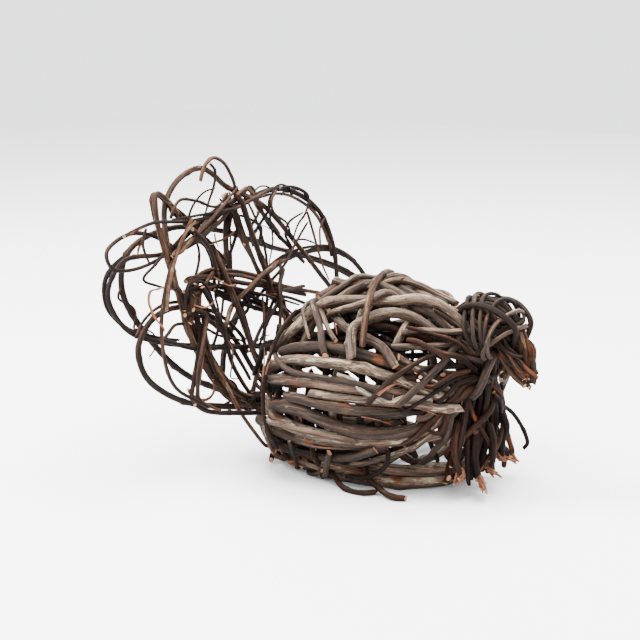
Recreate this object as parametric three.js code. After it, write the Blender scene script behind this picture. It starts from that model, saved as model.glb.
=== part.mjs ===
import * as THREE from 'three';

// Grapevine turkey in millimetres: head toward +X, tail fan toward -X, standing on Z = 0.
// The near flank, seen in the photograph, is toward -Y.

// Vine diameters
const STOUT = 10.2;
const THICK = 8.8;
const MEDIUM = 7;
const SLIM = 5.6;
const THIN = 4.6;
const TWIG = 3.6;
const CLEARANCE = 0.4;

// Body: an egg of vines that is open at the tail and at the breast and sits flat on its belly
const BODY_LENGTH = 200;
const BODY_WIDTH = 172;
const BODY_HEIGHT = 168;
const BODY_RISE = 34;
const BODY_CLOSING = 0.8;
const NECK_FALL = 20;
const BELLY_FLAT = 14;
const BODY_MIDDLE = BODY_HEIGHT / 2 - BELLY_FLAT;

// Tail fan: leans back from its root and is slightly cupped toward the head
const TAIL_LEAN = THREE.MathUtils.degToRad(20);
const TAIL_ROOT = new THREE.Vector3(-BODY_LENGTH / 2 - 2, 0, BODY_MIDDLE - 26);
const TAIL_HALF_WIDTH = 165;
const TAIL_HEIGHT = 230;
const TAIL_CUP = 14;

// Head: a ball of turns over a narrow throat
const THROAT = new THREE.Vector3(BODY_LENGTH / 2 + 4, 0, BODY_MIDDLE + BODY_HEIGHT / 6);
const THROAT_RADIUS = 11;
const HEAD_CENTRE = THROAT.clone().add(new THREE.Vector3(4, 0, 31));
const HEAD_LENGTH = 50;
const HEAD_WIDTH = 44;
const HEAD_HEIGHT = 48;
const BEAK_TIP = HEAD_CENTRE.clone().add(new THREE.Vector3(38, -4, -38));

// Base ring: a coil of two turns, the lower one flat on the floor
const BASE_RADIUS_X = 85;
const BASE_RADIUS_Y = 57;
const BASE_TURNS = 1.84;
const BASE_FLAT_TURNS = 0.85;
const FLOOR_GAP = 1.2;

const { cos, sin, sqrt, PI } = Math;
const radians = THREE.MathUtils.degToRad;
const { smoothstep } = THREE.MathUtils;

// A place on the body: station 0 at the tail to 1 at the breast,
// angle 0 over the back and 90 on the near flank
function onBody([station, angle, lift = 0]) {
  const along = station - 0.5;
  const girth = sqrt(1 - BODY_CLOSING * (2 * along) ** 2);
  return new THREE.Vector3(
    along * BODY_LENGTH,
    -(BODY_WIDTH / 2 + lift) * girth * sin(radians(angle)),
    BODY_MIDDLE + BODY_RISE * along + (BODY_HEIGHT / 2 + lift) * girth * cos(radians(angle)),
  );
}

// How far the far side of the back sinks toward the neck
function fallOf(station, angle) {
  const farSide = smoothstep(-sin(radians(angle)), -0.4, 0.4);
  const upperSide = smoothstep(cos(radians(angle)), -0.6, 0.2);
  return -NECK_FALL * smoothstep(station, 0.4, 0.7) * farSide * upperSide;
}

// A place on the fan: across 1 at its near edge and -1 at its far edge,
// up 0 at its root, lift toward the head
function onTail([across, up, lift = 0]) {
  const side = -across * TAIL_HALF_WIDTH;
  const rise = up * TAIL_HEIGHT;
  const forward = lift + TAIL_CUP * (side ** 2 + rise ** 2) / TAIL_HALF_WIDTH ** 2;
  return new THREE.Vector3(
    TAIL_ROOT.x - rise * sin(TAIL_LEAN) + forward * cos(TAIL_LEAN),
    side,
    TAIL_ROOT.z + rise * cos(TAIL_LEAN) + forward * sin(TAIL_LEAN),
  );
}

// Each vine is a route that is bent smoothly through a few places
const vines = [];

function addVine(name, diameter, places, options = {}) {
  const radius = diameter / 2;
  vines.push({ name, radius, places, taper: 1, lowest: radius + FLOOR_GAP, ...options });
}

function addBodyVine(name, diameter, lift, route, options) {
  addVine(name, diameter, route.map(([station, angle, extra = 0]) =>
    onBody([station, angle, lift + extra])), options);
}

function addTailVine(name, diameter, lift, route, options) {
  addVine(name, diameter, route.map(([across, up, extra = 0]) =>
    onTail([across, up, lift + extra])), options);
}

// Base ring, its climb from the lower to the upper turn on the far side
const BASE_HALF_FLAT = STOUT / 2 * cos(PI / 6);
const BASE_CLIMB = STOUT + CLEARANCE;
const BASE_PLACES = 24;
const base = [];
for (let i = 0; i <= BASE_PLACES; i += 1) {
  const turns = BASE_TURNS * i / BASE_PLACES;
  const climb = Math.min(1, Math.max(0, (turns - BASE_FLAT_TURNS) / (1 - BASE_FLAT_TURNS)));
  const turn = PI / 2 + 2 * PI * turns;
  base.push(new THREE.Vector3(
    BASE_RADIUS_X * cos(turn),
    BASE_RADIUS_Y * sin(turn),
    BASE_HALF_FLAT + BASE_CLIMB * climb * climb * (3 - 2 * climb),
  ));
}
addVine('base_ring', STOUT, base, { fixed: true, lowest: BASE_HALF_FLAT });

// Ribs: hoops inside the body that the flank vines rest on
const RIB_STATIONS = [0.34, 0.56, 0.78];
const RIB_SINK = -9;
const RIB_PLACES = 12;
RIB_STATIONS.forEach((station, rib) => {
  const hoop = [];
  for (let i = 0; i <= RIB_PLACES; i += 1) {
    const angle = 150 + 50 * rib + 368 * i / RIB_PLACES;
    hoop.push([station + 0.012 * sin(2 * radians(angle)) + 0.02 * i / RIB_PLACES, angle, fallOf(station, angle)]);
  }
  addBodyVine(`rib_${rib + 1}`, MEDIUM, RIB_SINK, hoop);
});

// Near flank, top to bottom
const NEAR_FLANK = [
  [THICK, 0, [[0.26, 58], [0.36, 57], [0.5, 58], [0.69, 63], [0.84, 69], [0.94, 78], [1, 90, -3]]],
  [THICK, 3, [[0.2, 78, -5], [0.24, 70], [0.34, 66], [0.57, 68], [0.74, 70], [0.9, 75], [0.98, 86]]],
  [THICK, 0, [[0.26, 79], [0.39, 80], [0.59, 83], [0.8, 86], [0.93, 90], [1.01, 98]]],
  [MEDIUM, 4, [[0.5, 85], [0.66, 89], [0.8, 93], [0.92, 98], [1, 106]]],
  [THICK, 2, [[0.36, 87], [0.5, 89], [0.66, 96], [0.82, 103], [0.97, 108]]],
  [STOUT, 3, [[0.29, 91], [0.43, 93], [0.63, 103], [0.8, 113], [0.92, 119], [1.01, 124]]],
  [STOUT, 0, [[0.22, 94, -3], [0.28, 102], [0.37, 106], [0.53, 111], [0.73, 118], [0.94, 132]]],
  [THICK, 1, [[0.18, 106], [0.28, 111], [0.44, 116], [0.64, 121], [0.78, 127]]],
  [MEDIUM, 3, [[0.2, 122], [0.32, 125], [0.46, 127], [0.6, 123], [0.74, 119]]],
];
NEAR_FLANK.forEach(([diameter, lift, route], i) => {
  addBodyVine(`flank_vine_${i + 1}`, diameter, lift, route);
});

// Back, near side
const BACK = [
  [THICK, 1, [[0.33, 22], [0.4, 2], [0.52, -3], [0.66, 11], [0.8, 23], [0.92, 34]]],
  [THICK, 4, [[0.42, 30], [0.52, 17], [0.66, 19], [0.8, 28], [0.93, 40]]],
  [MEDIUM, 5, [[0.46, -10], [0.62, 3], [0.78, 16], [0.9, 24], [0.98, 30]]],
  [THICK, 7, [[0.24, 56], [0.32, 46], [0.41, 32], [0.57, 28], [0.73, 25], [0.86, 17], [0.97, 14]]],
  [THICK, 3, [[0.69, 66], [0.66, 50], [0.72, 37], [0.83, 32], [0.94, 42]]],
  [MEDIUM, 2, [[0.46, 34], [0.58, 46], [0.72, 54], [0.81, 68]]],
];
BACK.forEach(([diameter, lift, route], i) => {
  addBodyVine(`back_vine_${i + 1}`, diameter, lift, route);
});
addBodyVine('back_stick', SLIM, 10, [[0.49, -16], [0.56, 4], [0.63, 27], [0.67, 44], [0.7, 59]]);

// Breast: two vines across the ends of the flank
addBodyVine('breast_vine_1', THIN, 8, [[0.77, 90], [0.85, 78], [0.93, 66], [1, 52]]);
addBodyVine('breast_vine_2', SLIM, 9, [[1, 32], [0.99, 60], [0.94, 82], [0.88, 94]]);

// Far flank and far side of the back: evenly stepped, each with a sag and wander of its own
const FAR_COUNT = 7;
const FAR_FIRST = -28;
const FAR_STEP = -16.5;
const FAR_PLACES = 6;
for (let i = 0; i < FAR_COUNT; i += 1) {
  const route = [];
  const start = 0.1 + 0.05 * ((i * 2) % 3);
  const end = 0.97 - 0.02 * ((i * 3) % 4);
  for (let j = 0; j < FAR_PLACES; j += 1) {
    const share = j / (FAR_PLACES - 1);
    const station = start + (end - start) * share;
    const angle = FAR_FIRST + FAR_STEP * i + 5 * sin(2.1 * i + 4.2 * share);
    route.push([station, angle, 3 * sin(1.7 * i + 3 * share) + fallOf(station, angle)]);
  }
  addBodyVine(`far_vine_${i + 1}`, [THICK, MEDIUM, STOUT][i % 3], 1, route);
}

// Binding round the rear ends of the flank vines
addBodyVine('rear_binding', TWIG, 9, [
  [0.31, 38], [0.27, 56], [0.25, 76], [0.25, 98], [0.28, 118],
]);

// Tail fan
const TAIL = [
  ['great_loop', SLIM, -12, [
    [0.1, -0.02, 34], [0.32, 0.06], [0.64, 0.18], [0.86, 0.36], [0.95, 0.5], [0.88, 0.62], [0.6, 0.68],
    [0.16, 0.64], [-0.18, 0.56], [-0.48, 0.49], [-0.77, 0.4], [-0.98, 0.29],
  ]],
  ['outer_loop', THIN, -4, [
    [0.02, 0.17, 14], [0.31, 0.21], [0.8, 0.29], [1.04, 0.38], [1.1, 0.49], [0.95, 0.59], [0.62, 0.6],
    [0.32, 0.66], [0, 0.75], [-0.12, 0.78], [-0.2, 0.64], [-0.41, 0.46],
  ]],
  ['side_lobe', TWIG, 2, [
    [0.6, 0.61], [0.76, 0.66], [0.92, 0.67], [1.09, 0.62], [1.07, 0.57], [0.88, 0.55], [0.62, 0.58],
    [0.28, 0.67], [-0.02, 0.73],
  ]],
  ['arch', SLIM, 6, [
    [0.12, -0.06, 24], [0.4, 0.01], [0.55, 0.15], [0.64, 0.36], [0.67, 0.62], [0.59, 0.77], [0.47, 0.84],
    [0.3, 0.86], [0.1, 0.76], [-0.14, 0.67], [-0.36, 0.5], [-0.57, 0.3],
  ]],
  ['kinked_vine', THIN, 12, [
    [0.7, 0.51], [0.73, 0.62], [0.74, 0.72], [0.72, 0.79], [0.64, 0.76], [0.47, 0.65], [0.29, 0.53], [0.25, 0.45],
  ]],
  ['crest_loop', TWIG, 10, [
    [0.36, 0.82], [0.31, 0.87], [0.23, 0.9], [0.15, 0.88], [0.1, 0.82], [0.09, 0.75],
  ]],
  ['far_loop', SLIM, 0, [
    [0.12, 0, 12], [0.13, 0.17], [0.18, 0.4], [0.19, 0.58], [0.12, 0.69], [-0.06, 0.74], [-0.34, 0.75],
    [-0.6, 0.64], [-0.67, 0.47], [-0.62, 0.29],
  ]],
  ['prop', THIN, 14, [
    [0.13, 0.76], [0.04, 0.64], [-0.02, 0.45], [-0.1, 0.29], [-0.22, 0.17, 6],
  ]],
  ['wave', SLIM, -6, [
    [0.38, 0.12], [0.3, 0.22], [0.1, 0.37], [-0.2, 0.47], [-0.46, 0.49], [-0.66, 0.48], [-0.84, 0.41], [-0.93, 0.31],
  ]],
  ['sash_1', THIN, 14, [
    [0.18, -0.05, 12], [0.42, 0.03], [0.55, 0.19], [0.59, 0.36], [0.5, 0.47], [0.23, 0.47], [-0.1, 0.38], [-0.51, 0.29],
  ]],
  ['sash_2', THIN, 9, [
    [0.2, -0.04, 14], [0.4, 0.02], [0.57, 0.19], [0.61, 0.36], [0.53, 0.43], [0.3, 0.38], [-0.04, 0.29], [-0.28, 0.2],
  ]],
  ['brace', TWIG, 20, [[0.66, 0.44], [0.4, 0.44], [0.12, 0.38], [-0.14, 0.33], [-0.36, 0.25]]],
  ['long_twig', TWIG, 22, [[0.52, 0.68], [0.78, 0.49], [0.93, 0.3], [0.94, 0.14], [0.74, 0.03]]],
  ['low_loop', SLIM, -2, [
    [0.14, -0.07, 20], [0.46, 0], [0.78, 0.08], [0.99, 0.2], [1, 0.3], [0.84, 0.38], [0.6, 0.39],
    [0.36, 0.3], [0.28, 0.2], [0.2, 0.02, 8],
  ]],
  ['bent_twig', THIN, 20, [
    [0.2, -0.1, 10], [0.5, -0.04], [0.75, 0.02], [0.8, 0.07], [0.71, 0.16], [0.6, 0.28], [0.6, 0.35], [0.7, 0.36],
  ]],
  ['drop_loop', TWIG, 16, [[0.59, 0.24], [0.51, 0.09], [0.46, -0.06], [0.38, -0.17], [0.28, -0.15, 2], [0.14, -0.05, 8]]],
  ['dark_twig', THIN, 24, [[0.55, 0.45], [0.46, 0.3], [0.44, 0.18], [0.33, 0.04]]],
  ['level_twig', TWIG, 18, [[0.06, 0.73], [0.3, 0.69], [0.57, 0.68], [0.8, 0.69], [1.04, 0.66]]],
  ['strut', TWIG, 18, [[0.26, 0.17], [0.12, 0.25], [-0.04, 0.35], [-0.15, 0.48]]],
];
TAIL.forEach(([name, diameter, lift, route]) => {
  addTailVine(`tail_${name}`, diameter, lift, route, { taper: 0.8 });
});

// Neck strands: each fans out from the throat to a foot on the breast,
// and above the throat it makes one turn over the head
const STRAND_COUNT = 5;
const FOOT_SPREAD = 15;
const FOOT_RISE = 19;
for (let i = 0; i < STRAND_COUNT; i += 1) {
  const step = i - (STRAND_COUNT - 1) / 2;
  const lean = radians(26 * step);
  const overHead = (turn, scale = 1) => new THREE.Vector3(
    HEAD_CENTRE.x + scale * HEAD_LENGTH / 2 * cos(turn),
    HEAD_CENTRE.y - HEAD_WIDTH / 2 * sin(lean) * (0.45 + 0.55 * sin(turn)) * scale,
    HEAD_CENTRE.z + scale * HEAD_HEIGHT / 2 * sin(turn) * (0.72 + 0.28 * cos(lean)),
  );
  const front = i % 2;
  addVine(`neck_vine_${i + 1}`, THIN, [
    new THREE.Vector3(THROAT.x - 1 + 3 * front, -FOOT_SPREAD * step - 2, FOOT_RISE + 3 * front),
    new THREE.Vector3(THROAT.x + 2 + 4 * front, -0.75 * FOOT_SPREAD * step, (FOOT_RISE + THROAT.z) / 2),
    new THREE.Vector3(THROAT.x - 4 + 8 * front, -THROAT_RADIUS * 0.42 * step, THROAT.z - 6),
    overHead(radians(215)),
    overHead(radians(165)),
    overHead(radians(118)),
    overHead(radians(70)),
    overHead(radians(20)),
    overHead(radians(-35), 0.9),
  ]);
}

// Turns that bind the throat and the head
function addTurn(name, diameter, centre, radii, turns, start, climb) {
  const places = [];
  const count = Math.round(8 * turns);
  for (let i = 0; i <= count; i += 1) {
    const turn = radians(start) + 2 * PI * turns * i / count;
    places.push(new THREE.Vector3(
      centre.x + radii[0] * cos(turn),
      centre.y + radii[1] * sin(turn),
      centre.z + climb * (i / count - 0.5) + radii[2] * cos(turn),
    ));
  }
  addVine(name, diameter, places);
}
addTurn('neck_band', TWIG, THROAT, [12, 13, -3], 1.5, 160, 11);
addTurn('head_wrap', TWIG, HEAD_CENTRE, [26, 22, 9], 1.25, 100, 8);

// Beak: sticks bound under the front of the head that draw together at the tip
const STICK_COUNT = 3;
for (let i = 0; i < STICK_COUNT; i += 1) {
  const step = i - (STICK_COUNT - 1) / 2;
  addVine(`beak_stick_${i + 1}`, THIN, [
    new THREE.Vector3(HEAD_CENTRE.x + HEAD_LENGTH / 2 + 7, -9 * step - 3, HEAD_CENTRE.z + 4 - 5 * (i % 2)),
    new THREE.Vector3(HEAD_CENTRE.x + HEAD_LENGTH / 2 + 12, -8 * step - 3, HEAD_CENTRE.z - 12),
    BEAK_TIP.clone().add(new THREE.Vector3(0, -5.5 * step, 4 * (i % 2))),
  ], { taper: 0.7 });
}

// A route as a chain of joints, closer together where it bends
const LONGEST_STEP = 25;
const SHARPEST_BEND = radians(38);
const FINE_PLACES = 160;
function chainOf(vine) {
  const curve = new THREE.CatmullRomCurve3(vine.places, false, 'centripetal');
  const fine = curve.getSpacedPoints(FINE_PLACES);
  const effort = [0];
  for (let i = 1; i < fine.length; i += 1) {
    const step = fine[i].clone().sub(fine[i - 1]);
    const next = i + 1 < fine.length ? fine[i + 1].clone().sub(fine[i]) : step;
    effort.push(effort[i - 1] + step.length() / LONGEST_STEP + step.angleTo(next) / SHARPEST_BEND);
  }
  const total = effort[effort.length - 1];
  const count = Math.max(3, Math.ceil(total));
  const chain = [];
  for (let i = 0, at = 0; i <= count; i += 1) {
    while (at < fine.length - 2 && effort[at + 1] < total * i / count) at += 1;
    const share = (total * i / count - effort[at]) / (effort[at + 1] - effort[at] || 1);
    chain.push(fine[at].clone().lerp(fine[at + 1], Math.min(1, share)));
  }
  return chain;
}

// The shortest way between two straight lengths a-b and c-d
function shortestWay(a, b, c, d) {
  const u = b.clone().sub(a);
  const v = d.clone().sub(c);
  const w = a.clone().sub(c);
  const uu = u.dot(u);
  const vv = v.dot(v);
  const uv = u.dot(v);
  const uw = u.dot(w);
  const vw = v.dot(w);
  const clamp = (x) => Math.min(1, Math.max(0, x));
  const spread = uu * vv - uv * uv;
  let s = spread > 1e-9 ? clamp((uv * vw - vv * uw) / spread) : 0;
  const t = clamp((uv * s + vw) / vv);
  s = clamp((uv * t - uw) / uu);
  return { s, t, way: w.addScaledVector(u, s).addScaledVector(v, -t) };
}

// Lays the vines against each other: lengths that would overlap are pushed apart to the clearance,
// and each pair that passes close by is drawn together until it meets
const PULL_COUNT = 90;
const PUSH_COUNT = 160;
const REACH = 10;
const PULL = 0.12;
const STIFFNESS = 0.25;

function lengthsNear(lengths, range) {
  const pairs = [];
  for (let i = 0; i < lengths.length; i += 1) {
    for (let j = i + 1; j < lengths.length; j += 1) {
      const one = lengths[i];
      const two = lengths[j];
      if (one.vine === two.vine && Math.abs(one.index - two.index) < 3) continue;
      const apart = one.middle.distanceTo(two.middle) - one.half - two.half;
      if (apart < range) pairs.push([one, two]);
    }
  }
  return pairs;
}

function lengthsOf(all) {
  const lengths = [];
  all.forEach((vine) => {
    for (let index = 0; index + 1 < vine.chain.length; index += 1) {
      const a = vine.chain[index];
      const b = vine.chain[index + 1];
      lengths.push({
        vine, index, a, b, middle: a.clone().lerp(b, 0.5), half: a.distanceTo(b) / 2 + vine.radius,
      });
    }
  });
  return lengths;
}

function shift(length, share, way, amount) {
  if (length.vine.fixed) return;
  length.a.addScaledVector(way, amount * (1 - share));
  length.b.addScaledVector(way, amount * share);
}

function settle(all) {
  all.forEach((vine) => {
    vine.rest = vine.chain.map((joint) => joint.clone());
  });
  let pairs = [];
  for (let round = 0; round < PULL_COUNT + PUSH_COUNT; round += 1) {
    const pulling = round < PULL_COUNT;
    if (round % 10 === 0) pairs = lengthsNear(lengthsOf(all), REACH + 3);
    const closest = new Map();
    pairs.forEach(([one, two]) => {
      const { s, t, way } = shortestWay(one.a, one.b, two.a, two.b);
      const apart = way.length();
      const need = one.vine.radius + two.vine.radius + CLEARANCE;
      way.divideScalar(apart || 1);
      if (apart < need) {
        const mobility = one.vine.fixed || two.vine.fixed ? 1 : 0.5;
        shift(one, s, way, (need - apart) * mobility);
        shift(two, t, way, (apart - need) * mobility);
      }
      if (pulling && one.vine !== two.vine) {
        const key = `${one.vine.name} ${two.vine.name}`;
        if (apart < need + REACH && !(closest.get(key)?.apart < apart)) {
          closest.set(key, { one, two, s, t, way, apart, need });
        }
      }
    });
    closest.forEach(({ one, two, s, t, way, apart, need }) => {
      if (apart <= need) return;
      shift(one, s, way, -(apart - need) * PULL);
      shift(two, t, way, (apart - need) * PULL);
    });
    all.forEach((vine) => {
      if (pulling && !vine.fixed) spreadBend(vine);
      vine.chain.forEach((joint) => {
        joint.z = Math.max(joint.z, vine.lowest);
      });
    });
  }
}

// A vine gives over its whole length, not at one joint
function spreadBend({ chain, rest }) {
  const moved = chain.map((joint, i) => joint.clone().sub(rest[i]));
  chain.forEach((joint, i) => {
    const before = moved[Math.max(0, i - 1)];
    const after = moved[Math.min(moved.length - 1, i + 1)];
    const even = before.clone().add(after).multiplyScalar(0.5);
    joint.copy(rest[i]).add(moved[i].clone().lerp(even, STIFFNESS));
  });
}

// The solid of one vine: flat-sided, with square-cut ends
const STOUT_SIDE_COUNT = 6;
const THIN_SIDE_COUNT = 5;
function solidOf({ chain, radius, taper }) {
  const sides = radius * 2 >= MEDIUM ? STOUT_SIDE_COUNT : THIN_SIDE_COUNT;
  const points = [];
  const faces = [];
  const across = new THREE.Vector3(0, 0, 1);
  chain.forEach((joint, i) => {
    const before = i > 0 ? joint.clone().sub(chain[i - 1]).normalize() : null;
    const after = i + 1 < chain.length ? chain[i + 1].clone().sub(joint).normalize() : null;
    const along = (before ?? after).clone().add(after ?? before).normalize();
    across.addScaledVector(along, -across.dot(along)).normalize();
    const beside = along.clone().cross(across);
    const girth = radius * (1 - (1 - taper) * i / (chain.length - 1));
    for (let k = 0; k < sides; k += 1) {
      const turn = 2 * PI * (k + 0.5) / sides;
      points.push(joint.clone()
        .addScaledVector(across, girth * cos(turn))
        .addScaledVector(beside, girth * sin(turn)));
    }
  });
  for (let i = 0; i + 1 < chain.length; i += 1) {
    for (let k = 0; k < sides; k += 1) {
      const a = i * sides + k;
      const b = i * sides + (k + 1) % sides;
      faces.push(a, b, b + sides, a, b + sides, a + sides);
    }
  }
  const first = points.length;
  const last = first + 1;
  points.push(chain[0].clone(), chain[chain.length - 1].clone());
  const end = (chain.length - 1) * sides;
  for (let k = 0; k < sides; k += 1) {
    faces.push(first, (k + 1) % sides, k);
    faces.push(last, end + k, end + (k + 1) % sides);
  }
  const geometry = new THREE.BufferGeometry().setFromPoints(points);
  geometry.setIndex(faces);
  return geometry;
}

vines.forEach((vine) => {
  vine.chain = chainOf(vine);
});
settle(vines);

// The whole is centred over the origin
const turkey = new THREE.Group();
turkey.name = 'grapevine_turkey';
const bark = new THREE.MeshStandardMaterial({ color: 0x6b5a4a });
vines.forEach((vine) => {
  const mesh = new THREE.Mesh(solidOf(vine), bark);
  mesh.name = vine.name;
  turkey.add(mesh);
});
const extent = new THREE.Box3().setFromObject(turkey);
const centre = extent.getCenter(new THREE.Vector3());
turkey.children.forEach((mesh) => {
  mesh.geometry.translate(-centre.x, -centre.y, -extent.min.z);
});

export default turkey;
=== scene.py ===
import math

import bmesh
import bpy
import numpy as np
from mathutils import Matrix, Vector


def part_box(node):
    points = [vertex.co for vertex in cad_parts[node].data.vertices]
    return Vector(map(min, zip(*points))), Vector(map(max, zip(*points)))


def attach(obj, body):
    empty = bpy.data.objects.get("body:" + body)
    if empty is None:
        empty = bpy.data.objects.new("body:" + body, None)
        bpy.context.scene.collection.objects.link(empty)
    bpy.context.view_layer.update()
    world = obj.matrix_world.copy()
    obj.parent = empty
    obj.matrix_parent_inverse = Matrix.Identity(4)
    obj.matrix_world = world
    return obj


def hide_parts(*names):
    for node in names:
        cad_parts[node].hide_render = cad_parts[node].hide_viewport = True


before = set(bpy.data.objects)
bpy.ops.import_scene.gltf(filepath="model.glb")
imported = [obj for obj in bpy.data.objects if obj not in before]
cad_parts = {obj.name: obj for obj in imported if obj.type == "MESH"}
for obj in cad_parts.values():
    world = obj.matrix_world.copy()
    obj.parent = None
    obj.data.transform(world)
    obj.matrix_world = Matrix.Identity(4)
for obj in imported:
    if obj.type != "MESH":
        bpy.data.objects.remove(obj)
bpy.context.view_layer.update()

MM = 0.001

# Camera and room: the photograph looks down a little on the turkey's right side, from off its head,
# and it stands on a white table in soft daylight. The design's own origin is the middle of the base ring.
ring_low, ring_high = (Vector(corner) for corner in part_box("base_ring"))
ORIGIN = np.array([(ring_low.x + ring_high.x) / 2, (ring_low.y + ring_high.y) / 2, 0])
AZIMUTH, ELEVATION = math.radians(38), math.radians(13)
CAMERA_DISTANCE = 1100 * MM
PIXEL = 0.83 * MM
SENSOR_MM, PICTURE = 36, 640
BODY_MIDDLE = np.array([0, 0, 70 * MM])
BODY_PIXEL = (375, 380)

to_right = np.array([math.cos(AZIMUTH), math.sin(AZIMUTH), 0])
to_camera = np.array([
    math.sin(AZIMUTH) * math.cos(ELEVATION), -math.cos(AZIMUTH) * math.cos(ELEVATION), math.sin(ELEVATION),
])
to_top = np.cross(to_camera, to_right)
aim = (ORIGIN + BODY_MIDDLE
       - (BODY_PIXEL[0] - PICTURE / 2) * PIXEL * to_right
       + (BODY_PIXEL[1] - PICTURE / 2) * PIXEL * to_top)
camera_data = bpy.data.cameras.new("camera")
camera_data.sensor_width = SENSOR_MM
camera_data.lens = SENSOR_MM * CAMERA_DISTANCE / PIXEL / PICTURE
camera = bpy.data.objects.new("camera", camera_data)
camera.location = aim + CAMERA_DISTANCE * to_camera
camera.rotation_euler = (math.pi / 2 - ELEVATION, 0, AZIMUTH)
bpy.context.collection.objects.link(camera)
bpy.context.scene.camera = camera


def linear(code):
    """The linear colour of an sRGB hex value."""
    channels = [int(code[i:i + 2], 16) / 255 for i in (1, 3, 5)]
    return tuple(c / 12.92 if c <= 0.04045 else ((c + 0.055) / 1.055) ** 2.4 for c in channels) + (1,)


def add(tree, kind, inputs=None, **settings):
    """A new shader node with its settings, and its inputs linked or set."""
    node = tree.nodes.new(kind)
    for name, value in settings.items():
        setattr(node, name, value)
    for name, value in (inputs or {}).items():
        if isinstance(value, bpy.types.NodeSocket):
            tree.links.new(value, node.inputs[name])
        else:
            node.inputs[name].default_value = value
    return node


def new_material(name):
    material = bpy.data.materials.new(name)
    material.use_nodes = True
    tree = material.node_tree
    return material, tree, tree.nodes["Principled BSDF"]


FLOOR_SIZE = 6
floor_mesh = bmesh.new()
bmesh.ops.create_grid(floor_mesh, x_segments=1, y_segments=1, size=FLOOR_SIZE / 2)
floor_data = bpy.data.meshes.new("floor")
floor_mesh.to_mesh(floor_data)
floor_mesh.free()
floor = bpy.data.objects.new("floor", floor_data)
bpy.context.collection.objects.link(floor)
floor_material, tree, surface = new_material("white laminate table")
surface.inputs["Base Color"].default_value = linear("#f2f2f3")
surface.inputs["Roughness"].default_value = 0.5
floor_data.materials.append(floor_material)

world = bpy.data.worlds.new("studio")
bpy.context.scene.world = world
world.use_nodes = True
world.node_tree.nodes["Background"].inputs["Color"].default_value = linear("#f4f5f7")
world.node_tree.nodes["Background"].inputs["Strength"].default_value = 2.7

LAMPS = [
    # name, place from the design's origin, size and watts
    ("window", (-1.0, -0.7, 1.5), 0.7, 100),
    ("ceiling", (0.1, 0.3, 1.8), 1.8, 190),
    ("fill", (1.3, -0.8, 0.7), 1.0, 4),
]
for name, place, size, watts in LAMPS:
    lamp_data = bpy.data.lights.new(name, "AREA")
    lamp_data.size = size
    lamp_data.energy = watts
    lamp = bpy.data.objects.new(name, lamp_data)
    lamp.location = ORIGIN + np.array(place)
    lamp.rotation_euler = (Vector(ORIGIN) + Vector((0, 0, 0.1)) - lamp.location).to_track_quat("-Z", "Y").to_euler()
    bpy.context.collection.objects.link(lamp)

# Base ring: one stout, weathered grapevine bent into a coil of two turns under the body.
# Its tools serve every other vine: each CAD vine gives the line and thickness that a real one is grown along.


def joints_of(node):
    """Centre and radius of each ring of a CAD vine, from one cut end to the other."""
    solid = bmesh.new()
    solid.from_mesh(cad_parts[node].data)
    bmesh.ops.remove_doubles(solid, verts=solid.verts, dist=2e-6)
    solid.normal_update()
    tip = next(v for v in solid.verts
               if all(face.normal.dot(v.link_faces[0].normal) > 0.9999 for face in v.link_faces))
    seen = {tip}
    ring = [edge.other_vert(tip) for edge in tip.link_edges]
    joints = []
    while ring:
        centre = sum((v.co for v in ring), Vector()) / len(ring)
        joints.append((*centre, (ring[0].co - centre).length))
        seen.update(ring)
        ring = list({edge.other_vert(v) for v in ring for edge in v.link_edges} - seen)
    solid.free()
    return np.array(joints[:-1])


def length_along(line):
    """How far along the line each row is."""
    return np.concatenate([[0], np.cumsum(np.linalg.norm(np.diff(line[:, :3], axis=0), axis=1))])


def bend_through(joints, spacing):
    """Evenly spaced rows (x, y, z, radius) of a smooth line through the joints."""
    ends = np.vstack([2 * joints[0] - joints[1], joints, 2 * joints[-1] - joints[-2]])
    ends[0, 3], ends[-1, 3] = joints[0, 3], joints[-1, 3]
    rows = []
    for p0, p1, p2, p3 in zip(ends, ends[1:], ends[2:], ends[3:]):
        k0, k1, k2 = (max(np.linalg.norm((b - a)[:3]), 1e-6) ** 0.5 for a, b in ((p0, p1), (p1, p2), (p2, p3)))
        t = np.linspace(0, k1, 12, endpoint=False)[:, None]
        a1 = (p0 * -t + p1 * (t + k0)) / k0
        a2 = (p1 * (k1 - t) + p2 * t) / k1
        a3 = (p2 * (k1 + k2 - t) + p3 * (t - k1)) / k2
        b1 = (a1 * (k1 - t) + a2 * (t + k0)) / (k0 + k1)
        b2 = (a2 * (k1 + k2 - t) + a3 * t) / (k1 + k2)
        rows.append((b1 * (k1 - t) + b2 * t) / k1)
    rows = np.vstack(rows + [joints[-1:]])
    run = length_along(rows)
    at = np.linspace(0, run[-1], max(5, round(run[-1] / spacing) + 1))
    return np.stack([np.interp(at, run, rows[:, k]) for k in range(4)], -1)


def unit(vectors):
    return vectors / np.maximum(np.linalg.norm(vectors, axis=-1, keepdims=True), 1e-12)


def directions(line):
    """Along, across and beside at each row of a line, without twist."""
    along = unit(np.gradient(line[:, :3], axis=0))
    across = np.zeros_like(along)
    across[0] = unit(np.cross(along[0], (0.3, 0.5, 0.8)))
    for i in range(1, len(along)):
        across[i] = unit(across[i - 1] - along[i] * across[i - 1].dot(along[i]))
    return along, across, np.cross(along, across)


def strips(rng, around, run, cells, length):
    """Smooth random values from -1 to 1 in strips that run along a vine; around is in turns."""
    table = rng.uniform(-1, 1, (cells, int(run.max() / length) + 3))
    a, s = around * cells, run / length
    i, j = np.floor(a).astype(int), np.floor(s).astype(int)
    u, v = (x * x * (3 - 2 * x) for x in (a - i, s - j))
    low = table[i % cells, j] * (1 - u) + table[(i + 1) % cells, j] * u
    high = table[i % cells, j + 1] * (1 - u) + table[(i + 1) % cells, j + 1] * u
    return low * (1 - v) + high * v


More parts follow.
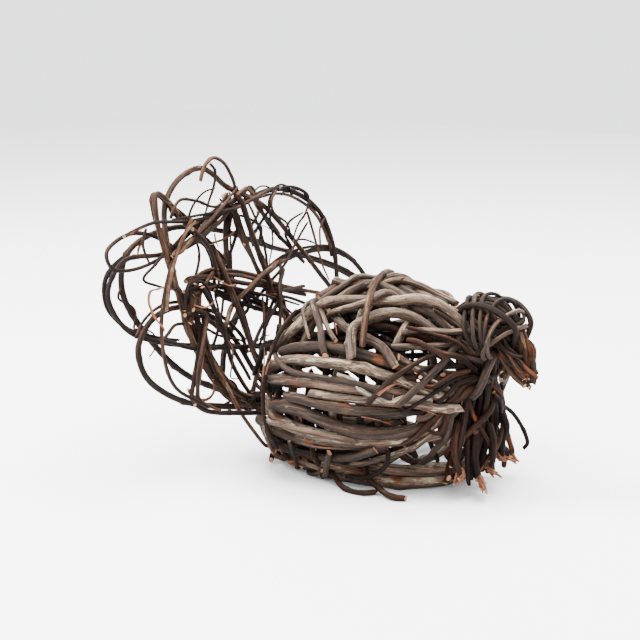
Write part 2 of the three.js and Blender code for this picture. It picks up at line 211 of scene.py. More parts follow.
def grow(bm, line, rng, sides=16, ridges=0.07, knot_gap=60 * MM, kink=0.3, bare=0.1, flat=1, cut=True, tip=1, tone=0):
    """Grows one vine in bm along line: fluted bark with strips and cracks, swollen knots and slant-cut ends.

    bare is the share of the bark that is torn off, flat below 1 makes a strip, tip is the share of the
    thickness that is left at the far end, and a tone above 0 is paler.
    """
    rows, columns = len(line), sides
    along, across, beside = directions(line)
    run = length_along(line)
    share = run / run[-1]
    girth = line[:, 3] * (1 - (1 - tip) * share ** 2)

    # Between its knots a vine is straight, and at each it turns a little and swells round a bud
    knots = [rng.uniform(0.2, 1) * knot_gap]
    while knots[-1] < run[-1]:
        knots.append(knots[-1] + knot_gap * rng.uniform(0.6, 1.4))
    middle = line[:, :3].copy()
    for side in (across, beside):
        sway = np.interp(run, [0, *knots], [0, *rng.uniform(-kink, kink, len(knots))])
        middle += side * (sway * girth * np.minimum(1, 8 * (1 - share)))[:, None]

    turn = np.arange(columns + 1)[None, :] / columns
    turn, run_at = np.broadcast_arrays(turn, run[:, None])
    twist = rng.uniform(-3, 3)
    grain = (turn + twist * run_at) % 1
    flutes = strips(rng, grain, run_at, 4, 80 * MM)
    cords = strips(rng, grain, run_at, min(9, columns // 2), 34 * MM)
    shreds = strips(rng, grain, run_at, columns // 2, 13 * MM)
    torn = strips(rng, grain, run_at, 3, 30 * MM)
    relief = 0.45 * flutes + 0.4 * (1 - 2 * np.abs(cords)) + 0.3 * shreds
    radius = girth[:, None] * (0.97 + ridges * relief)
    bud_side = rng.uniform(0, 1)
    for place in knots[:-1]:
        near = np.exp(-((run_at - place) / (1.2 * girth[0])) ** 2)
        bud = np.maximum(0, np.cos(2 * math.pi * (turn - bud_side))) ** 5
        radius = radius * (1 + near * (0.1 + 0.28 * bud))
        torn = torn + near * 0.4
        bud_side += 0.5
    bare_at = np.clip((torn - (1 - 2.4 * bare)) * 2 + 0.4, 0, 1)
    radius = radius * (1 - 0.08 * bare_at)

    # Slanting cuts at both ends
    slide = np.zeros_like(radius)
    if cut:
        for end, sign in ((0, 1), (rows - 1, -1)):
            slant = rng.uniform(-0.7, 0.7) * np.cos(2 * math.pi * (turn - rng.uniform(0, 1)))
            reach = np.exp(-np.abs(run_at - run[end]) / girth[end])
            slide += slant * reach * girth[end] * sign
            radius = radius * (1 - 0.12 * reach)

    angle = 2 * math.pi * turn
    points = (middle[:, None]
              + across[:, None] * (radius * np.cos(angle))[..., None]
              + beside[:, None] * (radius * flat * np.sin(angle))[..., None]
              + along[:, None] * slide[..., None])
    points[..., 2] = np.maximum(points[..., 2], 0)
    straight = np.stack([
        radius * np.cos(2 * math.pi * grain), radius * np.sin(2 * math.pi * grain), run_at + rng.uniform(0, 40),
    ], -1)

    if not bm.verts.layers.float_vector:
        bm.verts.layers.float_vector.new("straight")
        bm.verts.layers.float_vector.new("bark")
    straight_layer = bm.verts.layers.float_vector["straight"]
    bark_layer = bm.verts.layers.float_vector["bark"]
    verts = bmesh.ops.create_grid(bm, x_segments=columns, y_segments=rows - 1, size=1)["verts"]
    # bark holds relief, bare wood and tone: each vine has its own tone, with painted light on its upper side and
    # painted shade underneath
    above = across[:, None, 2] * np.cos(angle) + beside[:, None, 2] * np.sin(angle)
    bark = np.stack([relief, bare_at, tone + rng.uniform(-0.25, 1) + 0.5 * above], -1)
    for vert, point, flat_place, skin in zip(
            verts, points.reshape(-1, 3), straight.reshape(-1, 3), bark.reshape(-1, 3)):
        vert.co = point
        vert[straight_layer] = flat_place
        vert[bark_layer] = skin
    seam = [verts[row * (columns + 1) + k] for row in range(rows) for k in (0, columns)]
    bmesh.ops.remove_doubles(bm, verts=seam, dist=1e-7)
    for row in (0, rows - 1):
        ring = [verts[row * (columns + 1) + k] for k in range(columns)]
        ring = [vert for vert in ring if vert.is_valid]
        cap = bmesh.ops.contextual_create(bm, geom=ring)["faces"]
        if cap and cut:
            inner = bmesh.ops.inset_individual(bm, faces=cap, thickness=0.2 * girth[row], depth=-0.12 * girth[row])
            for face in cap + inner["faces"]:
                face.material_index = 1
        bmesh.ops.poke(bm, faces=cap)


def finish_piece(name, bm, materials, nodes=()):
    """Makes the object of a grown piece, on the root body, in place of its CAD nodes."""
    bmesh.ops.recalc_face_normals(bm, faces=bm.faces)
    for face in bm.faces:
        face.smooth = face.material_index == 0
    data = bpy.data.meshes.new(name)
    bm.to_mesh(data)
    bm.free()
    for material in materials:
        data.materials.append(material)
    piece = bpy.data.objects.new(name, data)
    bpy.context.collection.objects.link(piece)
    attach(piece, "root")
    if nodes:
        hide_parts(*nodes)
    return piece


def noise_of(tree, place, scale, detail, roughness=0.6):
    """Noise in a vine's own straightened coordinates, stretched along it by the scale."""
    stretched = add(tree, "ShaderNodeMapping", {"Vector": place, "Scale": scale}).outputs["Vector"]
    return add(tree, "ShaderNodeTexNoise", {
        "Vector": stretched, "Scale": 1, "Detail": detail, "Roughness": roughness,
    }).outputs["Fac"]


def blend(tree, factor, one, two, kind="MIX"):
    return add(tree, "ShaderNodeMix", {"Factor": factor, 6: one, 7: two}, data_type="RGBA", blend_type=kind).outputs[2]


def maths(tree, operation, one, two):
    return add(tree, "ShaderNodeMath", {0: one, 1: two}, operation=operation).outputs[0]


def ramp_of(tree, factor, *stops):
    ramp = add(tree, "ShaderNodeValToRGB", {"Fac": factor})
    for element, (position, code) in zip(ramp.color_ramp.elements, stops):
        element.position = position
        element.color = linear(code)
    for position, code in stops[2:]:
        ramp.color_ramp.elements.new(position).color = linear(code)
    return ramp.outputs["Color"]


def bark_material(name, dark, mid, light, warm, patch, bare, patch_share, shine=0.3):
    """Dried grapevine bark: stringy fibres along the vine, dark cracks, pale patches and torn inner bark."""
    material, tree, surface = new_material(name)
    place = add(tree, "ShaderNodeAttribute", attribute_name="straight").outputs["Vector"]
    skin = add(tree, "ShaderNodeSeparateXYZ", {
        "Vector": add(tree, "ShaderNodeAttribute", attribute_name="bark").outputs["Vector"],
    }).outputs
    fibres = noise_of(tree, place, (1100, 1100, 45), 5, 0.7)
    streaks = noise_of(tree, place, (420, 420, 16), 3)
    patches = noise_of(tree, place, (170, 170, 45), 5, 0.75)

    # Darker in the grooves between the ridges and paler on the ridges; the tone adds painted light on the tops and
    # painted shade on the undersides
    tone = maths(tree, "MULTIPLY", maths(tree, "ADD", skin["Z"], -0.5), 0.17)
    height = maths(tree, "ADD", maths(tree, "MULTIPLY", skin["X"], 0.12), tone)
    height = maths(tree, "ADD", height, maths(tree, "MULTIPLY", fibres, 0.55))
    height = maths(tree, "ADD", height, maths(tree, "MULTIPLY", streaks, 0.45))
    colour = ramp_of(tree, height, (0.3, dark), (0.74, light), (0.52, mid))
    warm_share = add(tree, "ShaderNodeMapRange", {
        "Value": streaks, "From Min": 0.45, "From Max": 0.7, "To Max": 0.6,
    }).outputs["Result"]
    colour = blend(tree, warm_share, colour, linear(warm), "SOFT_LIGHT")
    patch_edge = maths(tree, "ADD", patches, maths(tree, "MULTIPLY", fibres, 0.25))
    # Pale patches gather where the tone is high, so the painted top light also makes them commoner on the upper sides
    patch_edge = maths(tree, "ADD", patch_edge, maths(tree, "MULTIPLY", tone, 0.8))
    patch_mask = add(tree, "ShaderNodeMapRange", {
        "Value": patch_edge, "From Min": 0.86 - patch_share * 0.4, "From Max": 0.96 - patch_share * 0.4, "To Max": 0.7,
    }).outputs["Result"]
    colour = blend(tree, patch_mask, colour, linear(patch))
    cracks = maths(tree, "ABSOLUTE", maths(tree, "ADD", streaks, -0.47), 0)
    crack_mask = add(tree, "ShaderNodeMapRange", {
        "Value": cracks, "From Max": 0.03, "To Min": 0.75, "To Max": 0,
    }).outputs["Result"]
    colour = blend(tree, crack_mask, colour, linear(dark))
    pits = noise_of(tree, place, (520, 520, 230), 3, 0.7)
    pit_mask = add(tree, "ShaderNodeMapRange", {"Value": pits, "From Min": 0.56, "From Max": 0.66, "To Max": 0.6}).outputs["Result"]
    colour = blend(tree, pit_mask, colour, linear(dark))
    bare_edge = maths(tree, "ADD", skin["Y"], maths(tree, "MULTIPLY", fibres, 1.4))
    bare_mask = add(tree, "ShaderNodeMapRange", {"Value": bare_edge, "From Min": 1.2, "From Max": 1.6}).outputs["Result"]
    bare_colour = ramp_of(tree, fibres, (0.35, dark), (0.6, bare))
    colour = blend(tree, bare_mask, colour, bare_colour)
    tree.links.new(colour, surface.inputs["Base Color"])
    surface.inputs["Roughness"].default_value = 0.75
    surface.inputs["Specular IOR Level"].default_value = shine
    relief = maths(tree, "SUBTRACT", fibres, maths(tree, "MULTIPLY", crack_mask, 0.5))
    relief = maths(tree, "SUBTRACT", relief, maths(tree, "MULTIPLY", pit_mask, 0.5))
    bump = add(tree, "ShaderNodeBump", {"Height": relief, "Strength": 0.9, "Distance": 0.8 * MM})
    tree.links.new(bump.outputs["Normal"], surface.inputs["Normal"])
    return material


def fibre_material(name, pale, brown, scale):
    """Bare grapevine wood or inner bark: pale, with darker pores drawn out along the grain."""
    material, tree, surface = new_material(name)
    place = add(tree, "ShaderNodeAttribute", attribute_name="straight").outputs["Vector"]
    colour = ramp_of(tree, noise_of(tree, place, scale, 4), (0.35, brown), (0.62, pale))
    tree.links.new(colour, surface.inputs["Base Color"])
    surface.inputs["Roughness"].default_value = 0.9
    return material


weathered = bark_material(
    "weathered grapevine bark", "#0a0604", "#3b2e24", "#7a6a5b", "#8a5138", "#ac9d86", "#5c3219", 0.34, 0.15)
dark_bark = bark_material(
    "dark grapevine bark", "#060301", "#1e110a", "#583f2e", "#7d4a33", "#82735c", "#5c3219", 0.22, 0.12)
# A darker copy of the dark bark: painted shade for vines inside the body and the head, under the head and low beside
# the body
shade_darkened_bark = bark_material(
    "grapevine bark darkened as painted shade", "#040201", "#130804", "#3b2315", "#804830", "#5a412d", "#5c3219", 0.16, 0.1)
cut_wood = fibre_material("cut grapevine wood", "#a57a55", "#583823", (1500, 1500, 1500))
inner_bark = fibre_material("torn inner bark", "#74401f", "#1c0d07", (900, 900, 60))

SPACING = 2 * MM
lines = {}
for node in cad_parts:
    lines[node] = bend_through(joints_of(node), SPACING)
laid = list(lines.values())


def grow_node(node, materials, slot, seed, **look):
    bm = bmesh.new()
    grow(bm, lines[node], np.random.default_rng(seed), **look)
    return finish_piece(node + "_bark", bm, materials, [node])


def lay(route, diameter, drawn=True):
    """The line of a strand along a route, pushed clear of what was laid before it, with its ends drawn in to touch."""
    line = bend_through(np.array([(*place, diameter * MM / 2) for place in route]), 2.5 * MM)
    crowd = np.vstack(laid)
    low, high = line[:, :3].min(0) - 25 * MM, line[:, :3].max(0) + 25 * MM
    crowd = crowd[((crowd[:, :3] > low) & (crowd[:, :3] < high)).all(1)]
    run = length_along(line)
    rows = np.arange(len(line))
    route_line = line[:, :3].copy()
    for _ in range(14):
        away = line[:, None, :3] - crowd[None, :, :3]
        distance = np.maximum(np.linalg.norm(away, axis=-1), 1e-6)
        gaps = distance - crowd[:, 3] - line[:, 3:4]
        nearest = gaps.argmin(1)
        gap = gaps[rows, nearest]
        way = away[rows, nearest] / distance[rows, nearest][:, None]
        move = line[:, :3] - route_line - np.minimum(gap, 0)[:, None] * way
        for end in (0, -1) if drawn else (0,):
            pull = np.exp(-((run - run[end]) / (25 * MM)) ** 2)
            move -= 0.5 * max(0, gap[end]) * pull[:, None] * way[end]
        for _ in range(3):
            move[1:-1] = (move[:-2] + 2 * move[1:-1] + move[2:]) / 4
        line[:, :3] = route_line + move
        line[:, 2] = np.maximum(line[:, 2], line[:, 3])
    laid.append(line)
    return line


def grow_strands(name, strands, seed, materials, slot, drawn=True, **look):
    """One piece of many strands, each given as its diameter in mm and its route."""
    rng = np.random.default_rng(seed)
    bm = bmesh.new()
    for diameter, route in strands:
        sides = 8 if diameter < 3.2 else 10 if diameter < 5 else 14
        grow(bm, lay(route, diameter, drawn), rng, **{"sides": sides, "knot_gap": 12 * diameter * MM, **look})
    return finish_piece(name, bm, materials)


STOUT_LOOK = {"sides": 20, "ridges": 0.05, "knot_gap": 70 * MM, "kink": 0.34, "bare": 0.07}
grow_node("base_ring", [weathered, cut_wood], "weathered_bark", 1, **STOUT_LOOK)

# Body: stout vines laid along the flanks and back over three hoops, each sprung in behind the last.
# The bark is grey and stringy where it weathered, with torn brown stretches.
BODY_LENGTH, BODY_WIDTH, BODY_HEIGHT = 200, 172, 168
BODY_RISE = 34
BODY_CLOSING = 0.8
BODY_CENTRE = 70


def on_body(station, angle, lift=0):
    """A place on the body: station 0 at the tail to 1 at the breast, angle 0 over the back, 90 on the near flank."""
    along = station - 0.5
    girth = math.sqrt(max(0.02, 1 - BODY_CLOSING * (2 * along) ** 2))
    turn = math.radians(angle)
    return ORIGIN + MM * np.array([
        along * BODY_LENGTH,
        -(BODY_WIDTH / 2 + lift) * girth * math.sin(turn),
        BODY_CENTRE + BODY_RISE * along + (BODY_HEIGHT / 2 + lift) * girth * math.cos(turn),
    ])


body_nodes = [node for node in lines if node.startswith(("rib_", "flank_", "back_vine", "far_", "breast_vine_2"))]
for seed, node in enumerate(body_nodes):
    grow_node(node, [weathered, cut_wood], "weathered_bark", 10 + seed, **STOUT_LOOK)

# Inside the body: thinner, darker vines that were wound first, leaning across each other and holding the flanks up.
# Their bark is the darkened copy, painted shade inside the body, and they show as dark and rust-brown strokes through
# every gap.
rng = np.random.default_rng(5)
INNER_COUNT = 44
inner = []
for i in range(INNER_COUNT):
    side = 1 if i % 3 else -1
    station = rng.uniform(0.12, 0.5)
    angle = side * rng.uniform(-10, 135)
    reach, slope = rng.uniform(0.25, 0.5), side * rng.uniform(-40, 50)
    lift = rng.uniform(-24, -12)
    inner.append((rng.uniform(3.6, 6.5), [
        on_body(station + reach * t, angle + slope * t + 8 * math.sin(3 * t + i), lift + 4 * math.sin(2 * t + i))
        for t in (0, 0.35, 0.7, 1)
    ]))
UPRIGHT_STATIONS = (0.2, 0.27, 0.36, 0.44, 0.51, 0.6, 0.68, 0.76, 0.84, 0.91, 0.96)
for station in UPRIGHT_STATIONS:
    lean = rng.uniform(-0.06, 0.04)
    inner.append((rng.uniform(4, 6.5), [
        on_body(station + lean * t, 72 + 78 * t + rng.uniform(-4, 4), -11 + 5 * t) for t in (0, 0.3, 0.65, 1)
    ]))
    inner.append((rng.uniform(3.5, 5.5), [
        on_body(station - lean * t, -60 - 85 * t + rng.uniform(-4, 4), -11 + 4 * t) for t in (0, 0.3, 0.65, 1)
    ]))
LINING_COUNT = 12
for i in range(LINING_COUNT):
    # Long dark vines just behind the flanks
    angle = 44 + 92 * (i % 8) / 7 if i < 8 else -60 - 22 * (i - 8)
    first, last = rng.uniform(0.1, 0.2), rng.uniform(0.8, 0.92)
    inner.append((rng.uniform(4.8, 6.4), [
        on_body(first + (last - first) * t, angle + 5 * math.sin(5 * t + i), -9 + 2 * math.sin(4 * t + 2 * i))
        for t in (0, 0.25, 0.5, 0.75, 1)
    ]))
TANGLE_COUNT = 18
for i in range(TANGLE_COUNT):
    angle = -110 + 220 * i / (TANGLE_COUNT - 1) + (14 if i % 2 else 0)
    slope = 26 * math.sin(2.3 * i)
    inner.append((rng.uniform(3, 4.8), [
        on_body(0.0 + 0.02 * math.sin(i), 0.7 * angle, -4),
        on_body(0.06, angle, 2), on_body(0.14, angle + 0.5 * slope, 2), on_body(0.24, angle + slope, -4),
    ]))
grow_strands("inner_vines", inner, 6, [shade_darkened_bark, cut_wood], "dark_bark", bare=0.14, kink=0.3)

# Loose ends of the body: shorter vines sprung in between the long ones, their cut ends left standing out
BODY_STRANDS = [
    # diameter, lift, route of [station, angle]
    (5.5, 5, [[0.46, 42], [0.52, 39], [0.58, 36], [0.63, 32], [0.71, 28], [0.75, 27]]),
    (3, 9, [[0.21, 14], [0.31, 32], [0.44, 52]]),
    (5.5, 6, [[0.38, 32], [0.43, 41], [0.49, 50], [0.53, 58], [0.56, 65]]),
    (5.5, 3, [[0.8, 58], [0.86, 55], [0.92, 51], [0.97, 46], [1, 36]]),
    (4, 7, [[0.42, 38], [0.51, 48], [0.58, 55]]),
    (2.4, 10, [[0.8, 15], [0.87, 15], [0.95, 10]]),
    (3.6, 8, [[0.8, 19], [0.87, 16], [0.94, 18], [1, 16]]),
    (6, 4, [[0.5, 127], [0.58, 131], [0.66, 138], [0.72, 142]]),
    (5, 9, [[0.57, 119], [0.52, 132], [0.46, 146], [0.48, 156], [0.56, 158], [0.62, 156]]),
    (6, 5, [[0.6, 150], [0.67, 156], [0.72, 162]]),
    (3.5, 8, [[0.37, 112], [0.37, 124], [0.33, 138], [0.33, 147], [0.42, 138], [0.5, 130]]),
    (4, 7, [[0.22, 106], [0.22, 120], [0.2, 134], [0.22, 141]]),
    (5, 6, [[1, 110], [0.98, 124], [0.93, 140], [0.86, 152], [0.8, 150]]),
    (3, 8, [[0.99, 105], [0.97, 114], [0.9, 120]]),
    (5, 4, [[0.3, 66], [0.42, 74], [0.56, 77], [0.72, 80], [0.84, 88]]),
    (5, 3, [[0.62, 76], [0.74, 82], [0.86, 90], [0.96, 99]]),
    (4.5, 4, [[0.26, 100], [0.4, 103], [0.56, 107], [0.7, 112]]),
    (5, 2, [[0.36, 132], [0.5, 137], [0.64, 133], [0.8, 128], [0.93, 124]]),
    (6, 3, [[0.3, 6], [0.42, 12], [0.56, 12], [0.7, 6], [0.86, -2]]),
    (5, 5, [[0.3, 42], [0.38, 28], [0.5, 10], [0.62, -2], [0.76, -12]]),
    (5, 4, [[0.84, 62], [0.9, 70], [0.96, 82], [0.99, 96]]),
    (5, 4, [[0.8, 46], [0.9, 38], [0.98, 22]]),
    (6, 2, [[0.22, -20], [0.34, -34], [0.5, -40], [0.68, -38], [0.86, -30]]),
    (5, 4, [[0.2, -80], [0.36, -72], [0.54, -76], [0.72, -84], [0.9, -82]]),
    (5, 4, [[0.26, -118], [0.42, -110], [0.6, -112], [0.8, -104]]),
]
body_strands = [(diameter, [on_body(*place, lift) for place in route]) for diameter, lift, route in BODY_STRANDS]
grow_strands("body_strands", body_strands, 7, [weathered, cut_wood], "weathered_bark", ridges=0.05, bare=0.08)

FLOOR_STRANDS = [
    # dark shoots that run down over the flank and out along the table: diameter and route in mm
    (4.6, [(-14, -74, 62), (-13, -74, 44), (-8, -72, 22), (8, -68, 7), (26, -75, 2.4), (42, -74, 2.4), (50, -66, 2.4)]),
    (5, [(28, -52, 24), (36, -60, 11), (52, -66, 3), (66, -68, 2.6), (76, -64, 2.6)]),
    (3.6, [(-64, -56, 40), (-58, -56, 20), (-40, -60, 6), (-26, -62, 8), (-12, -66, 22)]),
    (3.8, [(-84, -30, 40), (-82, -36, 20), (-74, -42, 5), (-62, -48, 2.4)]),
    (4, [(60, -62, 44), (58, -66, 26), (40, -66, 12), (22, -68, 10)]),
    (5, [(-66, -40, 26), (-64, -50, 14), (-63, -60, 3)]),
    (3.6, [(96, 14, 64), (108, 30, 54), (115, 40, 42), (120, 44, 28), (117, 44, 23)]),
]
floor_strands = [(diameter, [ORIGIN + MM * np.array(place) for place in route]) for diameter, route in FLOOR_STRANDS]
# The shoots take the darkened bark, painted shade low down beside the body
grow_strands("floor_shoots", floor_strands, 17, [shade_darkened_bark, cut_wood], "dark_bark", drawn=False, bare=0.06)

# Tail: thinner, darker vines sprung into open loops, with thin twigs and tendrils threaded through them
TAIL_LEAN = math.radians(20)
TAIL_ROOT = np.array([-BODY_LENGTH / 2 - 2, 0, BODY_CENTRE - 26])
TAIL_HALF_WIDTH, TAIL_HEIGHT, TAIL_CUP = 165, 230, 14


def on_tail(across, up, lift=0):
    """A place on the fan: across 1 at its near edge and -1 at its far edge, up 0 at its root."""
    side, rise = -across * TAIL_HALF_WIDTH, up * TAIL_HEIGHT
    forward = lift + TAIL_CUP * (side ** 2 + rise ** 2) / TAIL_HALF_WIDTH ** 2
    return ORIGIN + MM * (TAIL_ROOT + np.array([
        -rise * math.sin(TAIL_LEAN) + forward * math.cos(TAIL_LEAN),
        side,
        rise * math.cos(TAIL_LEAN) + forward * math.sin(TAIL_LEAN),
    ]))


tail_nodes = [node for node in lines if node.startswith("tail_")]
for seed, node in enumerate(tail_nodes):
    grow_node(node, [dark_bark, cut_wood], "dark_bark", 80 + seed, sides=12, knot_gap=52 * MM, kink=0.35, bare=0.1)

TAIL_TWIGS = [
    # diameter, lift, route of [across, up]
    (5.5, 16, [[0.12, 0.74], [0.08, 0.67], [0.05, 0.59], [0.02, 0.51], [0, 0.44], [-0.02, 0.38], [-0.12, 0.24]]),
    (6, 20, [[0.32, 0.6], [0.32, 0.53], [0.32, 0.45], [0.3, 0.35], [0.28, 0.24], [0.27, 0.16], [0.26, 0.11]]),
    (5.5, 10, [[0.6, 0.57], [0.46, 0.62], [0.33, 0.67], [0.19, 0.71], [0.06, 0.76], [0, 0.77]]),
    (4.5, 12, [[0.57, 0.59], [0.4, 0.63], [0.26, 0.66], [0.13, 0.71], [0, 0.72], [-0.2, 0.75]]),
    (4.5, 8, [[0.57, 0.73], [0.47, 0.67], [0.38, 0.59], [0.27, 0.53], [0.24, 0.45]]),
    (4, 14, [[-0.1, 0.39], [-0.03, 0.32], [0.08, 0.26], [0.16, 0.19]]),
    (4.5, 18, [[-0.13, 0.44], [-0.06, 0.37], [-0.01, 0.26], [0.02, 0.2]]),
    (4.5, 6, [[-0.05, 0.78], [-0.08, 0.72], [-0.12, 0.68], [-0.23, 0.58]]),
    (4, 22, [[0.53, 0.64], [0.44, 0.57], [0.4, 0.47], [0.39, 0.42]]),
    (7, 14, [[0.58, 0.5], [0.57, 0.44], [0.61, 0.39], [0.66, 0.33]]),
    (6.5, 8, [[0.68, 0.5], [0.64, 0.44], [0.62, 0.37], [0.62, 0.29], [0.59, 0.21]]),
    (4.5, 20, [[0.65, 0.37], [0.57, 0.34], [0.6, 0.29], [0.65, 0.23], [0.73, 0.15], [0.8, 0.06]]),
    (5, 14, [[0.59, 0.47], [0.46, 0.47], [0.34, 0.46], [0.21, 0.43], [0.04, 0.4], [-0.12, 0.37], [-0.29, 0.36]]),
    (4.5, 10, [[0.41, 0.43], [0.28, 0.38], [0.14, 0.34], [-0.04, 0.29], [-0.22, 0.24]]),
    (4.5, 18, [[0.43, 0.28], [0.34, 0.34], [0.21, 0.39], [0.05, 0.44], [-0.11, 0.47], [-0.26, 0.48]]),
    (3.5, 20, [[0.86, 0.39], [0.81, 0.46], [0.71, 0.55], [0.62, 0.62], [0.5, 0.67]]),
    (4, 12, [[0.9, 0.29], [0.72, 0.25], [0.5, 0.22], [0.27, 0.2], [0.12, 0.17]]),
    (4.5, 4, [[0.47, 0.34], [0.37, 0.28], [0.33, 0.21], [0.28, 0.14], [0.24, 0.07]]),
    (3, 14, [[0.66, 0.72], [0.62, 0.75], [0.56, 0.77], [0.44, 0.75], [0.32, 0.72], [0.26, 0.72], [0.16, 0.76]]),
    (2.6, 16, [[0.29, 0.87], [0.26, 0.84], [0.29, 0.79], [0.35, 0.74], [0.4, 0.69]]),
    (2.2, 14, [[-0.21, 0.74], [-0.14, 0.7], [-0.12, 0.64], [-0.1, 0.56], [-0.03, 0.48]]),
    (2.6, 18, [[-0.21, 0.73], [-0.15, 0.69], [-0.15, 0.65], [-0.24, 0.59], [-0.26, 0.53]]),
    (2.6, 10, [[-0.29, 0.75], [-0.36, 0.75], [-0.44, 0.73], [-0.48, 0.7], [-0.44, 0.64], [-0.36, 0.59], [-0.3, 0.53]]),
    (2.6, 12, [[-0.43, 0.64], [-0.45, 0.56], [-0.47, 0.49], [-0.5, 0.42], [-0.54, 0.36]]),
    (2.2, 16, [[-0.28, 0.53], [-0.37, 0.53], [-0.49, 0.5]]),
    (2.2, 16, [[-0.48, 0.5], [-0.52, 0.56], [-0.58, 0.59]]),
    (2.2, 16, [[0.54, 0.68], [0.48, 0.73], [0.39, 0.77], [0.3, 0.78]]),
    (2.6, 14, [[0.76, 0.58], [0.84, 0.55], [0.94, 0.51], [0.84, 0.48], [0.69, 0.45]]),
    (2.6, 12, [[0.86, 0.66], [0.9, 0.62], [0.87, 0.56]]),
    (3, 12, [[0.47, 0.64], [0.41, 0.59], [0.38, 0.53], [0.37, 0.46], [0.4, 0.39], [0.44, 0.28]]),
    (2.4, 14, [[0.06, 0.36], [0.08, 0.27], [0.14, 0.2]]),
    (4.4, 10, [[-0.11, 0.34], [-0.09, 0.26], [-0.08, 0.19]]),
    (3.6, 18, [[0.72, 0.57], [0.56, 0.61], [0.4, 0.66], [0.2, 0.73], [0.1, 0.77]]),
    (3.2, 16, [[0.6, 0.42], [0.44, 0.44], [0.24, 0.41], [0.02, 0.35], [-0.2, 0.29]]),
    (3, 18, [[0.7, 0.39], [0.64, 0.47], [0.52, 0.45], [0.46, 0.36], [0.4, 0.24]]),
    (3, 10, [[0.82, 0.12], [0.76, 0.08], [0.65, 0.06], [0.58, 0.08], [0.56, 0.12]]),
    (3.4, 8, [[0.3, 0.3], [0.1, 0.34], [-0.12, 0.42], [-0.3, 0.52], [-0.44, 0.6]]),
    (3, 10, [[0.1, 0.2], [0.0, 0.34], [-0.06, 0.5], [-0.02, 0.66], [0.08, 0.78]]),
    (3, 8, [[0.9, 0.3], [0.74, 0.34], [0.56, 0.32], [0.4, 0.26], [0.22, 0.22]]),
    (2.8, 10, [[0.66, 0.14], [0.5, 0.22], [0.36, 0.34], [0.22, 0.48], [0.12, 0.62]]),
]
TAIL_DOUBLES = [
    # vines laid double: diameter, start of turn, vine and the share of it that is followed
    (4, 1, "tail_sash_1", 0.1, 0.9), (3.6, 3, "tail_sash_2", 0.2, 0.95), (4, 4, "tail_outer_loop", 0.52, 0.78), (3.2, 5, "tail_side_lobe", 0.6, 1),
    (3.6, 2, "tail_great_loop", 0.02, 0.3), (3.4, 0, "tail_wave", 0.3, 0.9), (3.4, 1, "tail_far_loop", 0.1, 0.5),
    (3.6, 5, "tail_kinked_vine", 0.05, 0.9), (3, 3, "tail_level_twig", 0, 0.6), (3.6, 4, "tail_low_loop", 0.1, 0.5),
    (3.4, 1, "tail_prop", 0, 0.9), (3.4, 2, "tail_sash_1", 0.45, 0.85), (3.6, 3, "tail_bent_twig", 0.1, 0.6),
]
rng = np.random.default_rng(8)
TWIG_COUNT = 8
twigs = [(diameter, [on_tail(*place, lift) for place in route]) for diameter, lift, route in TAIL_TWIGS]
for i in range(TWIG_COUNT):
    turn = rng.uniform(-0.1, 1.2) * math.pi
    across, up = 0.55 * math.cos(turn), 0.34 + 0.3 * math.sin(turn)
    heading, bend = rng.uniform(0, math.pi), rng.uniform(-1.2, 1.2)
    length = rng.uniform(0.25, 0.5)
    route = []
    for t in (-0.5, -0.17, 0.17, 0.5):
        route.append(on_tail(across + length * t * math.cos(heading + bend * t),
                             up + 0.72 * length * t * math.sin(heading + bend * t), rng.uniform(0, 14)))
    twigs.append((rng.uniform(2.4, 3.6), route))
for diameter, lift, node, first, last in TAIL_DOUBLES:
    line = lines[node]
    along, across, beside = directions(line)
    place = np.linspace(first, last, 9)
    rows = (place * (len(line) - 1)).astype(int)
    turn = place * 5 + lift
    out = (line[rows, 3] + diameter * MM * 0.6)[:, None]
    twigs.append((diameter, line[rows, :3] + across[rows] * np.cos(turn)[:, None] * out
                  + beside[rows] * np.sin(turn)[:, None] * out))
grow_strands("tail_twigs", twigs, 9, [dark_bark, cut_wood], "dark_bark", bare=0.1, kink=0.5, tip=0.6)

# Tendrils: wiry shoots that wound themselves round the vines as they grew
rng = np.random.default_rng(10)
bm = bmesh.new()
TENDRIL_COUNT = 9
TENDRIL = 1.1 * MM
for i in range(TENDRIL_COUNT):
    line = lines[tail_nodes[rng.integers(len(tail_nodes))]]
    first = rng.integers(4, len(line) - 34)
    line = line[first:first + 34]
    along, across, beside = directions(line)
    pitch = rng.uniform(24, 45) * MM
    turn = length_along(line) / pitch * 2 * math.pi
    out = (line[:, 3] * 1.05 + TENDRIL * (0.9 + np.linspace(0, 1, len(line)) ** 4 * 5))[:, None]
    coil = line.copy()
    coil[:, :3] += across * np.cos(turn)[:, None] * out + beside * np.sin(turn)[:, None] * out
    coil[:, 3] = TENDRIL
    grow(bm, bend_through(coil, 2 * MM), rng, sides=6, knot_gap=200 * MM, tip=0.5, cut=False)
finish_piece("tendrils", bm, [dark_bark])

# Neck and head: strands that rise from the breast, draw together at the throat and arch over the head.
# The head is a hollow ball of such turns, bound round the middle, with its last ends left as the beak.
THROAT = np.array([104, 0, 98])
HEAD_CENTRE = THROAT + (4, 0, 31)
HEAD_LENGTH, HEAD_WIDTH, HEAD_HEIGHT = 50, 44, 48
BEAK_TIP = HEAD_CENTRE + (38, -4, -38)
slim_nodes = [node for node in lines if node not in body_nodes + tail_nodes + ["base_ring"]]
for seed, node in enumerate(slim_nodes):
    grow_node(node, [dark_bark, cut_wood], "dark_bark", 120 + seed, sides=12, knot_gap=40 * MM, bare=0.1)


def over_head(turn, lean, scale=1):
    """A place on the head: turn 0 at the beak and 180 at the nape, lean to the far side."""
    turn, lean = math.radians(turn), math.radians(lean)
    return ORIGIN + MM * (HEAD_CENTRE + scale * np.array([
        HEAD_LENGTH / 2 * math.cos(turn),
        -HEAD_WIDTH / 2 * math.sin(lean) * (0.45 + 0.55 * math.sin(turn)),
        HEAD_HEIGHT / 2 * math.sin(turn) * (0.72 + 0.28 * math.cos(lean)),
    ]))


